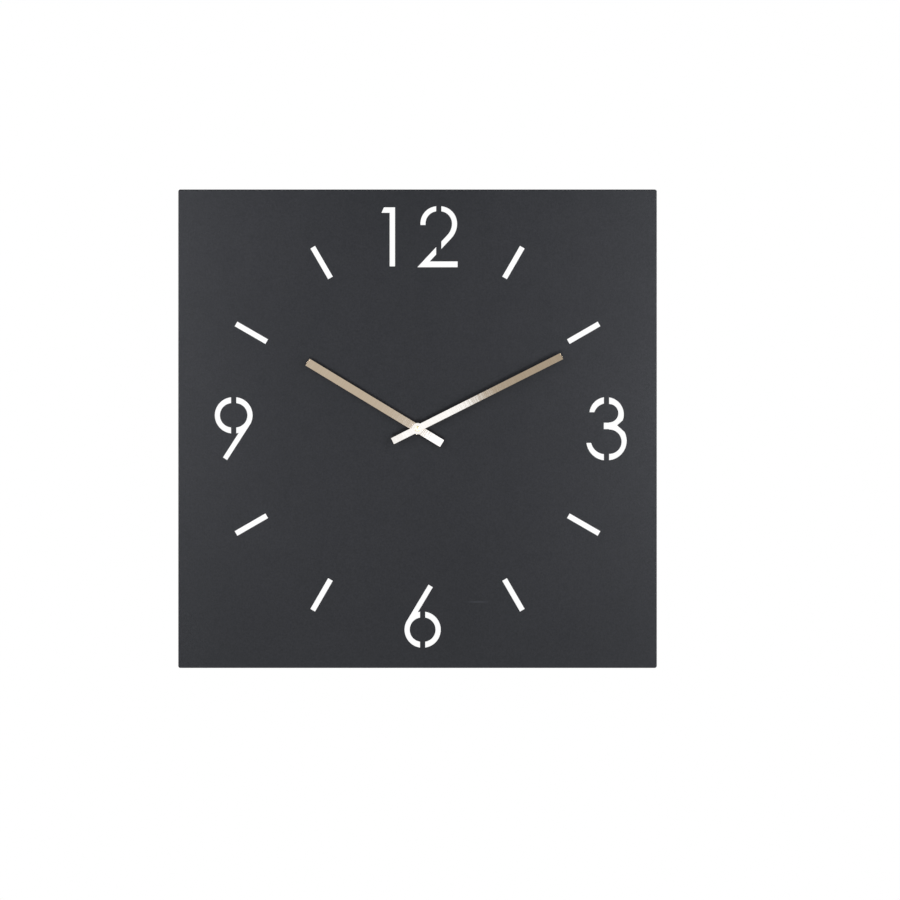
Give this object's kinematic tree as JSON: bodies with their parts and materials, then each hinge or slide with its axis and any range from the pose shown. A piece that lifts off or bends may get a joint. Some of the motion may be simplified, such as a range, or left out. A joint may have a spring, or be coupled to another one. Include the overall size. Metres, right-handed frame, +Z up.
{
  "type": "wall clock",
  "caption": "Square steel wall clock: a black folded tray with stencil-cut numerals and hour bars, brushed brass-coloured bar hands and a quartz movement behind the dial.",
  "frame": {"origin": "middle of the clock's whole box; the hand shaft's axis runs through it", "axes": "+X right as the dial is read, +Z up, +Y from the dial towards the wall, along the hand shaft"},
  "size_m": [0.6, 0.03, 0.6],
  "materials": {
    "black_powder_coat": "fine matt powder coat",
    "zinc_steel": "zinc plated",
    "felt": "pressed felt",
    "brushed_brass": "brushed, anodised pale brass",
    "turned_brass": "turned",
    "polished_brass": "polished",
    "black_rubber": "matt",
    "black_plastic": "moulded, fine texture",
    "white_plastic": "moulded",
    "magnet": "sintered, dark grey",
    "soft_iron": "stamped sheet",
    "copper_wire": "enamelled wire",
    "green_board": "solder mask",
    "bright_can": "bright",
    "black_resin": "poured resin",
    "nickel_strip": "nickel plated strip",
    "cell_wrap": "plain printed sleeve"
  },
  "bodies": {
    "case": {"dial_tray": "black_powder_coat", "hanger_bracket_left": "zinc_steel", "hanger_bracket_right": "zinc_steel", "wall_pads": "felt", "fixing_nut": "turned_brass", "brass_washer": "turned_brass", "rubber_washer": "black_rubber", "threaded_bush": "turned_brass", "movement_front_case": "black_plastic", "movement_rear_cover": "black_plastic", "train_plate": "white_plastic", "stator": "soft_iron", "coil_core": "soft_iron", "coil_bobbin": "white_plastic", "coil_winding": "copper_wire", "circuit_board": "green_board", "quartz_crystal": "bright_can", "clock_chip": "black_resin", "battery_contact_positive": "nickel_strip", "battery_contact_negative": "nickel_strip"},
    "minute": {"centre_arbor": "turned_brass", "minute_hand": "brushed_brass", "minute_hand_collet": "turned_brass", "cap_nut": "polished_brass"},
    "hour": {"hour_wheel": "turned_brass", "hour_hand": "brushed_brass", "hour_hand_collet": "turned_brass"},
    "setting": {"motion_wheel": "white_plastic", "setting_knob": "white_plastic"},
    "rotor": {"rotor_magnet": "magnet", "rotor_pinion": "white_plastic"},
    "intermediate": {"intermediate_wheel": "white_plastic"},
    "second": {"second_wheel": "white_plastic"},
    "third": {"third_wheel": "white_plastic"},
    "centre": {"centre_wheel": "turned_brass"},
    "battery": {"battery_can": "cell_wrap", "battery_cap": "bright_can"}
  },
  "joints": [
    {"name": "minute_turn", "type": "hinge", "parent": "case", "child": "minute", "pos_m": [0, 0, 0], "axis": [0, 1, 0], "continuous": true},
    {"name": "hour_turn", "type": "hinge", "parent": "case", "child": "hour", "pos_m": [0, 0, 0], "axis": [0, 1, 0], "continuous": true},
    {"name": "setting_turn", "type": "hinge", "parent": "case", "child": "setting", "pos_m": [-0.00188, 0, 0.01064], "axis": [0, 1, 0], "continuous": true},
    {"name": "rotor_turn", "type": "hinge", "parent": "case", "child": "rotor", "pos_m": [-0.01412, 0, 0.00795], "axis": [0, 1, 0], "continuous": true},
    {"name": "intermediate_turn", "type": "hinge", "parent": "case", "child": "intermediate", "pos_m": [-0.01004, 0, 0.00088], "axis": [0, 1, 0], "continuous": true},
    {"name": "second_turn", "type": "hinge", "parent": "case", "child": "second", "pos_m": [0, 0, 0], "axis": [0, 1, 0], "continuous": true},
    {"name": "third_turn", "type": "hinge", "parent": "case", "child": "third", "pos_m": [0.00958, 0, 0.00349], "axis": [0, 1, 0], "continuous": true},
    {"name": "centre_turn", "type": "hinge", "parent": "case", "child": "centre", "pos_m": [0, 0, 0], "axis": [0, 1, 0], "continuous": true},
    {"name": "battery_lift", "type": "slide", "parent": "case", "child": "battery", "axis": [0, 1, 0], "range_m": [0, 0.02]}
  ],
  "couplings": [
    {"joint": "hour_turn", "follows": "minute_turn", "ratio": 0.083333},
    {"joint": "setting_turn", "follows": "minute_turn", "ratio": -0.33333},
    {"joint": "intermediate_turn", "follows": "rotor_turn", "ratio": -0.2},
    {"joint": "second_turn", "follows": "rotor_turn", "ratio": 0.033333},
    {"joint": "third_turn", "follows": "rotor_turn", "ratio": -0.0044444},
    {"joint": "centre_turn", "follows": "rotor_turn", "ratio": 0.00055556}
  ]
}
